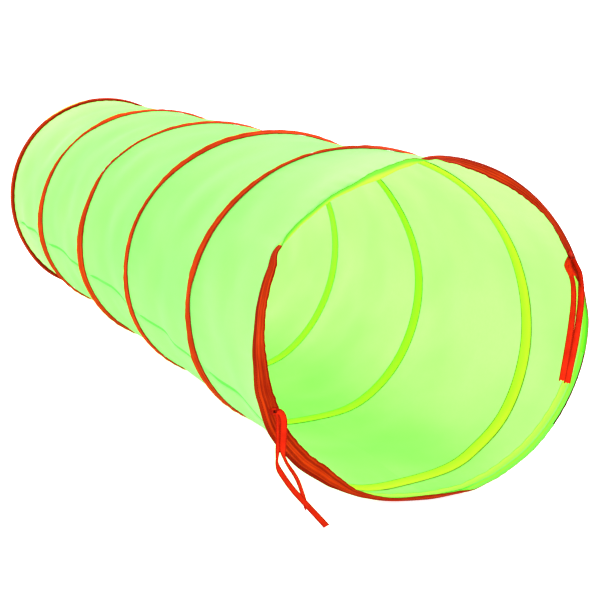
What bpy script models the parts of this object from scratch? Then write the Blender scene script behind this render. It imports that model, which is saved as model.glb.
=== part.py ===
"""Pop-up agility tunnel for dogs: a coiled spring wire in a sewn casing tape, on a light fabric sleeve.

Metres, +Z up. The tunnel's axis runs along X and its front mouth faces +X. The origin is on the floor, at the
middle of the bounding box without the tie ribbons. An angle theta goes round the axis: 0 at the bottom, 90 at +Y,
180 at the top. The soft rings rest on the floor, so every ring is flattened a little at its bottom.
"""

import math

import bmesh
import bpy
from mathutils import Vector

# Driving dimensions
TUNNEL_DIAMETER = 0.480
TUNNEL_LENGTH = 1.750
BAY_COUNT = 5
RING_STEP = 10
FLAT_HALF_ANGLE = 15
GAP = 0.0003

# Layers from the outside in
TAPE_THICKNESS = 0.0008
CASING_ROOM = 0.0038
SLEEVE_THICKNESS = 0.0008
WIRE_RADIUS = 0.0011
WIRE_SIDES = 6

# Casing tape along the coil, and the folded binding at each end ring
TAPE_WIDTH = 0.025
TAPE_CROWN = 0.005
BINDING_REACH = 0.018
BINDING_LIP = 0.0027
RING_CLEARANCE = 0.033

# Coil: where it leaves the front ring, its pitch, and its steeper last turn
COIL_START = -45
COIL_PHASE = -50
COIL_PITCH = 0.3564
LEAD_IN = 10
LEAD_IN_BLEND = 50
LAST_TURN_START = 1365
COIL_END = 1585
WIRE_SPACING = 0.0028
TURN_ENDS = (305, 655, 1005, 1365)

# The front ring leans: its +Y side stands forward
FRONT_LEAN = 0.107

# Crimp that joins a coil end to its ring
CRIMP_WALL = 0.00035
CRIMP_HALF_ANGLE = 2.5

# Tie ribbons
RIBBON_WIDTH = 0.009
RIBBON_THICKNESS = 0.0008
RIBBON_SPACING = 0.008
TAB_BACK = 0.013
TAB_FRONT = 0.006
TAB_HALF_ANGLE = 1.15
LEFT_TIE_ANGLE = 294
RIGHT_TIE_ANGLE = 115
TACK_LENGTH = 0.0016
TACK_THICKNESS = 0.0006

OUTER_RADIUS = TUNNEL_DIAMETER / 2
CASING_RADIUS = OUTER_RADIUS - TAPE_THICKNESS
SLEEVE_RADIUS = CASING_RADIUS - CASING_ROOM
SLEEVE_INSIDE = SLEEVE_RADIUS - SLEEVE_THICKNESS
BINDING_INSIDE = SLEEVE_INSIDE - GAP - TAPE_THICKNESS
WIRE_CENTRE = SLEEVE_RADIUS + CASING_ROOM / 2
BAY_LENGTH = TUNNEL_LENGTH / BAY_COUNT

AXIS_HEIGHT = OUTER_RADIUS * math.cos(math.radians(FLAT_HALF_ANGLE))
SIDE_REACH = OUTER_RADIUS * math.sin(math.radians(90 - RING_STEP / 2))
FRONT_EDGE = FRONT_LEAN * SIDE_REACH + BINDING_LIP
FRONT_X = (TUNNEL_LENGTH + BINDING_LIP - FRONT_EDGE) / 2
REAR_X = FRONT_X - TUNNEL_LENGTH

# Routes of the ribbons' middles, from the front ring's centre
LEFT_LONG_ROUTE = (
    (-0.0150, -0.2120, -0.0970),
    (-0.0140, -0.2115, -0.1150),
    (-0.0130, -0.2110, -0.1400),
    (-0.0090, -0.2115, -0.1580),
    (0.0010, -0.2080, -0.1715),
    (0.0140, -0.2000, -0.1860),
    (0.0280, -0.1910, -0.2010),
    (0.0420, -0.1810, -0.2160),
    (0.0540, -0.1745, -0.2270),
    (0.0640, -0.1700, -0.2310),
)
LEFT_SHORT_ROUTE = (
    (-0.0120, -0.2045, -0.0970),
    (-0.0110, -0.2020, -0.1100),
    (-0.0105, -0.2018, -0.1280),
    (-0.0095, -0.2020, -0.1500),
    (-0.0040, -0.1935, -0.1680),
    (0.0010, -0.1840, -0.1840),
    (0.0060, -0.1770, -0.2000),
    (0.0090, -0.1750, -0.2130),
    (0.0110, -0.1780, -0.2225),
)
RIGHT_OUTER_ROUTE = (
    (0.0310, 0.2175, 0.0760),
    (0.0315, 0.2215, 0.0600),
    (0.0320, 0.2250, 0.0410),
    (0.0322, 0.2260, 0.0210),
    (0.0322, 0.2240, -0.0030),
    (0.0318, 0.2190, -0.0270),
    (0.0315, 0.2130, -0.0500),
    (0.0310, 0.2042, -0.0825),
)
RIGHT_INNER_ROUTE = (
    (0.0300, 0.2050, 0.0880),
    (0.0298, 0.2000, 0.0800),
    (0.0295, 0.2035, 0.0700),
    (0.0293, 0.2110, 0.0590),
    (0.0293, 0.2142, 0.0460),
    (0.0293, 0.2150, 0.0274),
    (0.0290, 0.2107, -0.0020),
    (0.0287, 0.2049, -0.0372),
    (0.0284, 0.2010, -0.0790),
)
RIGHT_WRAP_ROUTE = (
    (0.0340, 0.1990, 0.0880),
    (0.0342, 0.2030, 0.0800),
    (0.0344, 0.2090, 0.0730),
    (0.0344, 0.2160, 0.0685),
)
FORWARD = Vector((1, 0, 0))
UP = Vector((0, 0, 1))


def clear_scene():
    for obj in list(bpy.data.objects):
        bpy.data.objects.remove(obj, do_unlink=True)


def principled(name, colour, roughness, metallic=0.0):
    material = bpy.data.materials.new(name)
    material.use_nodes = True
    shader = material.node_tree.nodes["Principled BSDF"]
    shader.inputs["Base Color"].default_value = (*colour, 1)
    shader.inputs["Roughness"].default_value = roughness
    shader.inputs["Metallic"].default_value = metallic
    material.diffuse_color = (*colour, 1)
    return material


def joint_empty(name, place):
    empty = bpy.data.objects.new(name, None)
    empty.empty_display_size = 0.05
    empty.location = place
    bpy.context.scene.collection.objects.link(empty)
    return empty


def add_node(name, loops, closed, material, pivot, sharp_angle=40):
    """A solid through equal loops of points. An open one is capped at both ends. It hangs on its joint's empty."""
    mesh = bmesh.new()
    place = pivot.location
    rings = [[mesh.verts.new(Vector(point) - place) for point in loop] for loop in loops]
    pairs = list(zip(rings, rings[1:]))
    if closed:
        pairs.append((rings[-1], rings[0]))
    for here, there in pairs:
        count = len(here)
        for i in range(count):
            j = (i + 1) % count
            mesh.faces.new((here[i], here[j], there[j], there[i]))
    if not closed:
        mesh.faces.new(list(reversed(rings[0])))
        mesh.faces.new(rings[-1])
    bmesh.ops.recalc_face_normals(mesh, faces=mesh.faces)
    data = bpy.data.meshes.new(name)
    mesh.to_mesh(data)
    mesh.free()
    data.shade_smooth()
    data.set_sharp_from_angle(angle=math.radians(sharp_angle))
    data.materials.append(material)
    obj = bpy.data.objects.new(name, data)
    obj.parent = pivot
    bpy.context.scene.collection.objects.link(obj)
    return obj


def corner_point(theta, radius):
    """A corner of a ring's cross-section, as (y, z) from the axis, with the bottom flattened."""
    angle = math.radians(theta)
    lowest = -radius * math.cos(math.radians(FLAT_HALF_ANGLE))
    return radius * math.sin(angle), max(-radius * math.cos(angle), lowest)


def ring_point(theta, radius):
    """A point of the many-sided ring, on the straight side between two corners."""
    half = RING_STEP / 2
    first = math.floor((theta - half) / RING_STEP) * RING_STEP + half
    share = (theta - first) / RING_STEP
    y_one, z_one = corner_point(first, radius)
    y_two, z_two = corner_point(first + RING_STEP, radius)
    return y_one + share * (y_two - y_one), z_one + share * (z_two - z_one)


def stations(start, end):
    """The angles of a sweep: its two ends and every corner between them."""
    first = math.floor(start / RING_STEP + 0.5) * RING_STEP + RING_STEP / 2
    between = []
    while first < end - 0.01:
        if first > start + 0.01:
            between.append(first)
        first += RING_STEP
    return [start, *between, end]


def full_circle():
    return [RING_STEP / 2 + RING_STEP * i for i in range(360 // RING_STEP)]


def loop_at(theta, place, profile):
    """A profile's (shift along X, radius) points, as the solid's loop at this angle."""
    loop = []
    for shift, radius in profile:
        y, z = ring_point(theta, radius)
        loop.append((place + shift, y, z + AXIS_HEIGHT))
    return loop


def swept(name, angles, place, profile, material, pivot, closed=False):
    """A profile swept round the axis. place gives its X at an angle."""
    loops = [loop_at(theta, place(theta), profile) for theta in angles]
    return add_node(name, loops, closed, material, pivot)


def front_ring_x(theta):
    return FRONT_X + FRONT_LEAN * ring_point(theta, OUTER_RADIUS)[0]


def rear_ring_x(_theta):
    return REAR_X


def main_coil_x(theta):
    return FRONT_X - COIL_PITCH * (theta - COIL_PHASE) / 360


def coil_x(theta):
    """The X of the coil's wire: beside the front ring, then at an even pitch, then a steep turn to the rear ring."""
    leave = COIL_START + LEAD_IN
    join = COIL_START + LEAD_IN_BLEND
    arrive = COIL_END - LEAD_IN
    if theta <= leave:
        return front_ring_x(theta) - WIRE_SPACING
    if theta < join:
        share = (theta - leave) / (join - leave)
        from_ring = front_ring_x(leave) - WIRE_SPACING
        return from_ring + share * (main_coil_x(join) - from_ring)
    if theta <= LAST_TURN_START:
        return main_coil_x(theta)
    share = min(1, (theta - LAST_TURN_START) / (arrive - LAST_TURN_START))
    beside = REAR_X + WIRE_SPACING
    return main_coil_x(LAST_TURN_START) + share * (beside - main_coil_x(LAST_TURN_START))


def wire_profile():
    points = []
    for i in range(WIRE_SIDES):
        angle = 2 * math.pi * i / WIRE_SIDES
        points.append((WIRE_RADIUS * math.cos(angle), WIRE_CENTRE + WIRE_RADIUS * math.sin(angle)))
    return points


def tape_profile():
    """The coil's casing tape: its edges lie on the sleeve and its crown stands over the wire."""
    edge = TAPE_WIDTH / 2
    crown = TAPE_CROWN / 2
    low = SLEEVE_RADIUS + GAP
    return [
        (-edge, low),
        (-crown, CASING_RADIUS),
        (crown, CASING_RADIUS),
        (edge, low),
        (edge, low + TAPE_THICKNESS),
        (crown, OUTER_RADIUS),
        (-crown, OUTER_RADIUS),
        (-edge, low + TAPE_THICKNESS),
    ]


def binding_profile(side):
    """The end ring's folded binding, a channel over the sleeve's edge. side is 1 at the front and -1 at the rear."""
    lip = BINDING_LIP
    fold = lip - TAPE_THICKNESS
    points = [
        (-BINDING_REACH, OUTER_RADIUS),
        (lip, OUTER_RADIUS),
        (lip, BINDING_INSIDE),
        (-BINDING_REACH, BINDING_INSIDE),
        (-BINDING_REACH, BINDING_INSIDE + TAPE_THICKNESS),
        (fold, BINDING_INSIDE + TAPE_THICKNESS),
        (fold, CASING_RADIUS),
        (-BINDING_REACH, CASING_RADIUS),
    ]
    return [(side * shift, radius) for shift, radius in points]


def block_profile(back, front, low, high):
    return [(back, low), (front, low), (front, high), (back, high)]


def distance_angle(ring_x, search, step):
    """The first angle from search at which the coil is a tape's room away from an end ring."""
    theta = search
    while abs(coil_x(theta) - ring_x(theta)) < RING_CLEARANCE:
        theta += step
    return theta


def turn_ranges(start, end):
    """Each turn's first and last angle, with a small gap where it meets the next."""
    half_gap = math.degrees(GAP / 2 / SLEEVE_RADIUS)
    edges = [start, *TURN_ENDS, end]
    ranges = []
    for i, (first, last) in enumerate(zip(edges, edges[1:])):
        low = first + half_gap * (i > 0)
        high = last - half_gap * (i < BAY_COUNT - 1)
        ranges.append((low, high))
    return ranges


def build_wire(pivots, steel):
    profile = wire_profile()
    circle = full_circle()
    swept("front_ring_wire", circle, front_ring_x, profile, steel, pivots["front_ring"], closed=True)
    swept("rear_ring_wire", circle, rear_ring_x, profile, steel, pivots["rear_ring"], closed=True)
    for i, (low, high) in enumerate(turn_ranges(COIL_START, COIL_END), 1):
        swept(f"coil_wire_turn_{i}", stations(low, high), coil_x, profile, steel, pivots[f"coil_{i}"])


def build_tape(pivots, red):
    start = distance_angle(front_ring_x, COIL_START, 0.5)
    end = distance_angle(rear_ring_x, COIL_END, -0.5)
    profile = tape_profile()
    for i, (low, high) in enumerate(turn_ranges(start, end), 1):
        swept(f"casing_tape_turn_{i}", stations(low, high), coil_x, profile, red, pivots[f"coil_{i}"])


def build_bindings(pivots, red):
    circle = full_circle()
    swept("front_rim_binding", circle, front_ring_x, binding_profile(1), red, pivots["front_ring"], closed=True)
    swept("rear_rim_binding", circle, rear_ring_x, binding_profile(-1), red, pivots["rear_ring"], closed=True)


def build_sleeve(pivots, green):
    """The sewn sleeve, divided across at each bay so that it can fold with the coil."""
    inset = BINDING_LIP - TAPE_THICKNESS - GAP
    for i in range(BAY_COUNT):
        front = FRONT_X - i * BAY_LENGTH - GAP / 2
        rear = FRONT_X - (i + 1) * BAY_LENGTH + GAP / 2
        if i == BAY_COUNT - 1:
            rear = REAR_X - inset
        loops = []
        for theta in full_circle():
            edge = front_ring_x(theta) + inset if i == 0 else front
            outer = ring_point(theta, SLEEVE_RADIUS)
            inner = ring_point(theta, SLEEVE_INSIDE)
            loops.append(
                [
                    (edge, outer[0], outer[1] + AXIS_HEIGHT),
                    (edge, inner[0], inner[1] + AXIS_HEIGHT),
                    (rear, inner[0], inner[1] + AXIS_HEIGHT),
                    (rear, outer[0], outer[1] + AXIS_HEIGHT),
                ]
            )
        add_node(f"sleeve_bay_{i + 1}", loops, True, green, pivots[f"coil_{i + 1}"])


def build_crimp(name, middle, ring_x, coil_side, steel, pivot):
    """A flat oval crimp round the ring's wire and the coil's end beside it, open at both ends."""
    room = WIRE_RADIUS + GAP / 2
    outer = room + CRIMP_WALL
    low = -WIRE_SPACING - room if coil_side < 0 else -room
    high = room if coil_side < 0 else WIRE_SPACING + room
    inner_profile = block_profile(low, high, WIRE_CENTRE - room, WIRE_CENTRE + room)
    outer_profile = block_profile(
        low - CRIMP_WALL, high + CRIMP_WALL, WIRE_CENTRE - outer, WIRE_CENTRE + outer
    )
    one, two = middle - CRIMP_HALF_ANGLE, middle + CRIMP_HALF_ANGLE
    loops = []
    for i in range(4):
        corner = []
        for theta, profile in ((one, outer_profile), (two, outer_profile), (two, inner_profile), (one, inner_profile)):
            corner.append(loop_at(theta, ring_x(theta), [profile[i]])[0])
        loops.append(corner)
    add_node(name, loops, True, steel, pivot)


def smooth_route(route):
    """Points a ribbon spacing apart on a Catmull-Rom curve through the route, in the tunnel's frame."""
    centre = Vector((FRONT_X, 0, AXIS_HEIGHT))
    knots = [centre + Vector(point) for point in route]
    knots = [2 * knots[0] - knots[1], *knots, 2 * knots[-1] - knots[-2]]
    points = []
    for before, here, there, after in zip(knots, knots[1:], knots[2:], knots[3:]):
        steps = max(1, round((there - here).length / RIBBON_SPACING))
        for step in range(steps):
            t = step / steps
            points.append(
                0.5
                * (
                    2 * here
                    + (there - before) * t
                    + (2 * before - 5 * here + 4 * there - after) * t**2
                    + (3 * here - before - 3 * there + after) * t**3
                )
            )
    points.append(knots[-2])
    return points


def ribbon(name, route, start_face, end_face, red, pivot):
    """A flat ribbon along a route. Its face turns from start_face to end_face on the way."""
    points = smooth_route(route)
    loops = []
    for i, point in enumerate(points):
        along = points[min(i + 1, len(points) - 1)] - points[max(i - 1, 0)]
        face = start_face.lerp(end_face, i / (len(points) - 1))
        across = along.cross(face).normalized() * RIBBON_WIDTH / 2
        out = across.cross(along).normalized() * RIBBON_THICKNESS / 2
        loops.append([point - across - out, point + across - out, point + across + out, point - across + out])
    return add_node(name, loops, False, red, pivot, sharp_angle=60)


def build_tie_base(side, theta, red, thread, pivot):
    """The ribbon's folded middle on the binding's inside, and the bar tack that holds it."""
    high = BINDING_INSIDE - GAP
    low = high - 2 * RIBBON_THICKNESS
    around = stations(theta - TAB_HALF_ANGLE, theta + TAB_HALF_ANGLE)
    tab = block_profile(-TAB_BACK, TAB_FRONT, low, high)
    swept(f"tie_{side}_tab", around, front_ring_x, tab, red, pivot)
    tack_high = low - GAP
    tack = block_profile(-TACK_LENGTH, TACK_LENGTH, tack_high - TACK_THICKNESS, tack_high)
    around = stations(theta - 0.8 * TAB_HALF_ANGLE, theta + 0.8 * TAB_HALF_ANGLE)
    swept(f"tie_{side}_bar_tack", around, front_ring_x, tack, thread, pivot)


def build_ties(pivot, red, thread):
    build_tie_base("left", LEFT_TIE_ANGLE, red, thread, pivot)
    build_tie_base("right", RIGHT_TIE_ANGLE, red, thread, pivot)
    ribbon("tie_left_long_tail", LEFT_LONG_ROUTE, FORWARD, UP, red, pivot)
    ribbon("tie_left_short_tail", LEFT_SHORT_ROUTE, FORWARD, FORWARD, red, pivot)
    ribbon("tie_right_outer_tail", RIGHT_OUTER_ROUTE, FORWARD, FORWARD, red, pivot)
    ribbon("tie_right_inner_tail", RIGHT_INNER_ROUTE, FORWARD, FORWARD, red, pivot)
    ribbon("tie_right_wrap", RIGHT_WRAP_ROUTE, FORWARD, FORWARD, red, pivot)


def joint_empties():
    pivots = {"front_ring": joint_empty("front_ring_axis", (FRONT_X, 0, AXIS_HEIGHT))}
    for i in range(BAY_COUNT):
        place = (FRONT_X - i * BAY_LENGTH, 0, AXIS_HEIGHT)
        pivots[f"coil_{i + 1}"] = joint_empty(f"coil_{i + 1}_slide", place)
    pivots["rear_ring"] = joint_empty("rear_ring_slide", (REAR_X, 0, AXIS_HEIGHT))
    return pivots


def main():
    clear_scene()
    steel = principled("spring_steel", (0.55, 0.56, 0.58), 0.35, 1.0)
    red = principled("casing_tape_red", (0.80, 0.07, 0.02), 0.6)
    green = principled("sleeve_green", (0.45, 1.0, 0.22), 0.7)
    thread = principled("tack_thread", (0.12, 0.02, 0.01), 0.8)
    pivots = joint_empties()
    build_wire(pivots, steel)
    build_tape(pivots, red)
    build_bindings(pivots, red)
    build_sleeve(pivots, green)
    front_crimp = COIL_START + LEAD_IN / 2
    rear_crimp = COIL_END - LEAD_IN / 2
    build_crimp("front_wire_crimp", front_crimp, front_ring_x, -1, steel, pivots["front_ring"])
    build_crimp("rear_wire_crimp", rear_crimp, rear_ring_x, 1, steel, pivots["rear_ring"])
    build_ties(pivots["front_ring"], red, thread)


main()
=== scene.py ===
"""The looks of a pop-up agility tunnel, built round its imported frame.

Metres, in the frame's axes: the tunnel lies along X with its front mouth at +X. An angle theta goes round the axis,
0 at the bottom, 90 at +Y, 180 at the top. The coil's angle keeps counting from turn to turn.
"""

import math

import bpy
import numpy as np
from mathutils import Matrix, Vector


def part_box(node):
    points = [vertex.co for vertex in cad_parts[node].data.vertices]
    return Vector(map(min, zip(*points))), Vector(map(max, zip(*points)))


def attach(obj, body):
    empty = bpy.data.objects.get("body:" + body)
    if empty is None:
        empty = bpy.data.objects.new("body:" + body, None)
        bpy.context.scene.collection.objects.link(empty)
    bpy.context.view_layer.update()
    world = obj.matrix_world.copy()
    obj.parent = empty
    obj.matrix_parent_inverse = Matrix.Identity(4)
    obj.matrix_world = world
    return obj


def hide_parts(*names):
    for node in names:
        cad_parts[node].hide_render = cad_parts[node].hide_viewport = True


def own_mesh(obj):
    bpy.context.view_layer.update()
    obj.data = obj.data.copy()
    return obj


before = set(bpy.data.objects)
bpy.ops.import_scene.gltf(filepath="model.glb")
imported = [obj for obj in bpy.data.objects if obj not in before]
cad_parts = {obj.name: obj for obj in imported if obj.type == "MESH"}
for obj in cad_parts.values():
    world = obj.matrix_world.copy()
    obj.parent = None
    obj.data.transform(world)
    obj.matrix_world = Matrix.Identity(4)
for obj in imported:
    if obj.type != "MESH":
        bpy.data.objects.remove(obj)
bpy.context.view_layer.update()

# The frame's dimensions. Its rings stand on a flat 15 degrees to each side, and have a corner every 10 degrees.
RING_LOW, RING_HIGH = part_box("front_ring_wire")
REAR_LOW, REAR_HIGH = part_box("rear_ring_wire")
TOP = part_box("front_rim_binding")[1].z
FLAT = math.radians(15)
HALF_FACET = math.radians(5)
RADIUS = TOP / (math.cos(FLAT) + math.cos(HALF_FACET))
AXIS_Z = RADIUS * math.cos(FLAT)
FRONT_X = (RING_LOW.x + RING_HIGH.x) / 2
REAR_X = (REAR_LOW.x + REAR_HIGH.x) / 2
BAYS = 5
CENTRE = Vector((FRONT_X, 0, AXIS_Z))

# Layers from the outside in, as the frame has them
TAPE = 0.0008
SLEEVE_RADIUS = RADIUS - 0.0050
WIRE_CENTRE = RADIUS - 0.0027
WIRE_RADIUS = 0.0011
LINING_RADIUS = SLEEVE_RADIUS - 0.0012
TAPE_WIDTH = 0.025

# The coil, with the same rule as the frame's: its even part lies between its two lead-ins
FRONT_LEAN = 0.107
COIL_START = -45
COIL_END = 1585
COIL_PITCH = 0.3564
COIL_PHASE = -50
LEAD_IN = 10
EVEN_START = 5
LAST_TURN_START = 1365
TURN_ENDS = (305, 655, 1005, 1365)
WIRE_SPACING = 0.0028

# How the soft ring settles on the floor, and the radius of the bend beside its flat
SETTLE = 0.0014
SOFTNESS = 0.006

# The front hem: its twist from straight ahead towards the axis in degrees, its width and its setback in
# millimetres, and how far the strip is drawn inwards off the wire, each at an angle round the mouth
HEM_TWIST = ((0, 34), (10, 28), (18, 16), (40, 17), (66, 20), (90, 18), (100, 24), (108, 47), (120, 46),
             (132, 38), (144, 42), (156, 42), (166, 32), (174, 18), (180, 0), (188, -44), (198, -58), (207, -36),
             (216, -31), (226, -32), (234, -31), (239, -10), (244, 2), (256, 4), (264, 7), (276, 21), (290, 42),
             (304, 50), (318, 56), (326, 46), (334, 28), (346, 26))
HEM_WIDTH = ((0, 18), (40, 18), (90, 19), (104, 18), (140, 18), (160, 19), (176, 19), (190, 14), (215, 14), (238, 19),
             (262, 23), (286, 24), (300, 25), (318, 24), (336, 18), (346, 16))
HEM_SETBACK = ((0, -15), (12, -8), (24, 3), (40, 8), (60, 10), (90, 10), (104, 7), (120, 3), (150, 3), (174, 4),
               (190, 4), (210, 4), (234, 3), (250, 1), (300, 0), (325, -1), (338, -5), (350, -11))
HEM_DRAWN = ((0, 0), (178, 0), (187, -7), (198, -10), (206, -9), (218, -4.5), (230, -2.5), (242, 0))

# How far the rear mouth's binding stands up off the sleeve, in millimetres at an angle
REAR_LIFT = ((0, 2), (40, 3), (150, 3), (176, 4.5), (226, 5.5), (296, 5.5), (316, 7.5), (338, 3))

# How far the front ring stands out of the round at an angle, and the coil at its own angles, in millimetres
RIM_STAND = ((0, 0), (16, 0), (28, 1.5), (42, 4.5), (60, 5.5), (90, 5.5), (104, 2), (120, -1), (140, -0.5),
             (158, 0), (174, 1), (184, 0), (198, -4), (222, -3.5), (234, 0), (240, 4), (246, 0), (258, -1.5),
             (264, -2.5), (276, -0.5), (288, 5), (300, 10), (312, 8.5), (324, 4.5), (336, 2), (350, 1))
COIL_STAND = ((-45, 0), (100, 0), (180, -2), (250, 0), (460, 0), (540, -3), (610, 0), (820, 0), (900, -6),
              (955, 0), (1180, 0), (1262, -2), (1320, 0))

# How far forward of its even pitch the coil strays, in millimetres
COIL_STRAY = ((-45, 0), (8, -3), (30, 3), (50, 10), (72, 9), (92, 7), (115, 8), (150, 8), (178, 4), (198, -3),
              (230, -3), (262, -7), (290, -1), (306, 4), (350, 0), (415, 7), (445, 8), (480, -4), (546, 16),
              (566, 8), (590, -1), (618, -9), (642, -12), (664, -18), (720, 0), (774, -10), (850, 10), (908, 34),
              (924, 27), (938, 13), (954, -1), (970, 6), (992, 5), (1010, -4), (1060, 2), (1266, 12), (1282, 0),
              (1302, -14), (1322, -21), (1352, -24), (1374, -25), (1450, 0))

# How much tape shows on the coil, in millimetres: narrow where it has rolled on itself, wide where it stands up
TAPE_SHOWN = ((-12, 25), (150, 24), (174, 25), (192, 11), (206, 11), (228, 22), (256, 26), (266, 16), (277, 25),
              (294, 40), (330, 26), (450, 24), (530, 32), (562, 33), (580, 28), (597, 14), (628, 21), (644, 31),
              (700, 25), (890, 23), (915, 22), (932, 9), (954, 8), (965, 25), (996, 46), (1030, 42), (1090, 24),
              (1240, 22), (1257, 14), (1283, 35), (1307, 9), (1332, 29), (1357, 44), (1400, 32), (1470, 24),
              (1560, 24))
TAPE_LYING = 0.027
TAPE_RANGE = (-12, 1572)
TAPE_SINKS = 1556

# The casing's bands inside the sleeve
LINING_RANGE = (-34, 1572)
LINING_HALF = 0.0130
LINING_SPREAD = 1.14
LINING_SHIFT = -0.0004
SAG_ANGLE = 160

# The sleeve in a bay: how far it is drawn in between the wires, how unevenly, how deep its puckers beside them are,
# how many go round and how far they reach, how far it flares over the front wire, and its dip along the seam
DRAWN_IN = 0.0042
UNEVENNESS = 0.0026
PUCKER_DEPTH = 0.0006
PUCKERS = 68
PUCKER_FADE = 0.03
FRONT_FLARE = 0.0023
SEAM_DIP = 0.0014
SEAM_HALF = 0.0052

# The front hem's strip before it is scaled to its width: the rows' distances from the wire, the first of them behind
# it, and its half thickness at shares of its width
HEM_REACHES = (-0.0042, -0.0034, -0.0018, 0.0003, 0.0030, 0.0060, 0.0090, 0.0120, 0.0150, 0.0175)
HEM_THICKNESS = ((-0.3, 0.0004), (-0.2, 0.0016), (0, 0.0021), (0.5, 0.0014), (0.9, 0.0010), (1, 0.0004))


def eased(value, points, period=None):
    """A smooth curve through (place, height) points, level at each of them."""
    places = np.array([p for p, _ in points], float)
    heights = np.array([h for _, h in points], float)
    value = np.asarray(value, float)
    if period:
        value = value % period
        places = np.concatenate([[places[-1] - period], places, [places[0] + period]])
        heights = np.concatenate([[heights[-1]], heights, [heights[0]]])
    index = np.clip(np.searchsorted(places, value, side="right") - 1, 0, len(places) - 2)
    share = np.clip((value - places[index]) / (places[index + 1] - places[index]), 0, 1)
    share = share * share * (3 - 2 * share)
    return heights[index] + share * (heights[index + 1] - heights[index])


def section(theta, radius):
    """World y and z at an angle and a radius, with the ring's bottom settled on the floor."""
    angle = np.radians(theta)
    drop = radius * math.cos(FLAT) + SETTLE
    height = (drop - radius * np.cos(angle)) / SOFTNESS
    return radius * np.sin(angle), AXIS_Z - drop + SOFTNESS * np.logaddexp(0, height)


def rim_stand(theta):
    """How far the front ring stands out of the round, in metres."""
    return eased(theta, RIM_STAND, 360) / 1000


def hem_drawn(theta):
    """How far the front hem stands off its wire, in metres, negative where it is drawn inwards."""
    return eased(theta, HEM_DRAWN, 360) / 1000


def front_edge(theta):
    """The X of the front mouth's leaning edge."""
    return FRONT_X + FRONT_LEAN * RADIUS * np.sin(np.radians(theta))


def hem_root(theta):
    """The X where the front hem begins, over the ring's wire."""
    return front_edge(theta) - eased(theta, HEM_SETBACK, 360) / 1000


def plain_coil(theta):
    """The X of the coil's wire before it is eased: beside the front ring, at an even pitch, beside the rear ring."""
    leave = COIL_START + LEAD_IN
    beside = front_edge(leave) - WIRE_SPACING
    places = (leave, EVEN_START, LAST_TURN_START, COIL_END - LEAD_IN)
    even = [FRONT_X - COIL_PITCH * (t - COIL_PHASE) / 360 for t in (EVEN_START, LAST_TURN_START)]
    return np.interp(theta, places, (beside, *even, REAR_X + WIRE_SPACING))


def coil_x(theta):
    """The X of the coil's wire, with its changes of pitch eased over a sixth of a turn."""
    theta = np.asarray(theta, float)
    even = np.mean([plain_coil(theta + d) for d in range(-30, 31, 6)], axis=0)
    return even + eased(theta, COIL_STRAY) / 1000


def coil_stand(theta):
    """How far the coil's wire stands out of the round: it follows the front ring where it starts beside it."""
    behind = front_edge(theta) - coil_x(theta)
    return eased(theta, COIL_STAND) / 1000 + rim_stand(theta) * np.exp(-behind / 0.09)


def ripple(theta, x, seed, turns, lengths, count=14):
    """Smooth unevenness from -1 to 1 or so that closes round the tunnel, as a sum of waves."""
    rng = np.random.default_rng(seed)
    total = np.zeros(np.broadcast(theta, x).shape)
    for _ in range(count):
        around = rng.integers(turns[0], turns[1] + 1)
        along = 2 * math.pi / rng.uniform(*lengths) * rng.choice((-1, 1))
        total += np.cos(around * np.radians(theta) + along * x + rng.uniform(0, 2 * math.pi))
    return total / math.sqrt(count)


def mesh_object(name, points, faces, uvs, materials, face_materials=None):
    """A mesh piece. uvs has one (along, across) pair, in metres, for each point of each face."""
    data = bpy.data.meshes.new(name)
    data.from_pydata(np.asarray(points).tolist(), [], np.asarray(faces).tolist())
    layer = data.uv_layers.new(name="UVMap")
    layer.data.foreach_set("uv", np.asarray(uvs, np.float32).ravel())
    for material in materials:
        data.materials.append(material)
    if face_materials is not None:
        data.polygons.foreach_set("material_index", np.asarray(face_materials, np.int32))
    data.shade_smooth()
    data.update()
    obj = bpy.data.objects.new(name, data)
    bpy.context.scene.collection.objects.link(obj)
    return obj


def sweep(name, points, along, across, materials, kinds=None, closed=False, loop=True, sharp=60):
    """A skin over rows of points. points is (rows, columns, 3), and a row is a loop unless loop is False.
    along gives each row's length from the start, and across each column's width from the middle. kinds, where
    given, says which material each quad between two rows and two columns has."""
    rows, columns = points.shape[:2]
    row = np.arange(rows if closed else rows - 1)
    column = np.arange(columns if loop else columns - 1)
    r, c = np.meshgrid(row, column, indexing="ij")
    r2, c2 = (r + 1) % rows, (c + 1) % columns
    faces = np.stack([r * columns + c, r * columns + c2, r2 * columns + c2, r2 * columns + c], -1).reshape(-1, 4)
    along = np.append(along, 2 * along[-1] - along[-2])
    across = np.append(across, across[0] if loop else across[-1])
    u = np.stack([along[r], along[r], along[r + 1], along[r + 1]], -1)
    v = np.stack([across[c], across[c + 1], across[c + 1], across[c]], -1)
    uvs = np.stack([u, v], -1).reshape(-1, 2)
    kinds = None if kinds is None else kinds[r, c].ravel()
    obj = mesh_object(name, points.reshape(-1, 3), faces, uvs, materials, kinds)
    obj.data.set_sharp_from_angle(angle=math.radians(sharp))
    return obj


def ring_points(theta, x, radius):
    """World points for arrays of angle, X and radius."""
    y, z = section(theta, radius)
    return np.stack(np.broadcast_arrays(x, y, z), -1)


# Materials


def link(tree, value, socket):
    """Joins a node's output to a socket, or sets the socket to a number or colour."""
    if isinstance(value, bpy.types.NodeSocket):
        tree.links.new(value, socket)
    else:
        socket.default_value = value


def maths(tree, operation, first, second=0.0, clamp=False):
    node = tree.nodes.new("ShaderNodeMath")
    node.operation = operation
    node.use_clamp = clamp
    link(tree, first, node.inputs[0])
    link(tree, second, node.inputs[1])
    return node.outputs[0]


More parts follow.
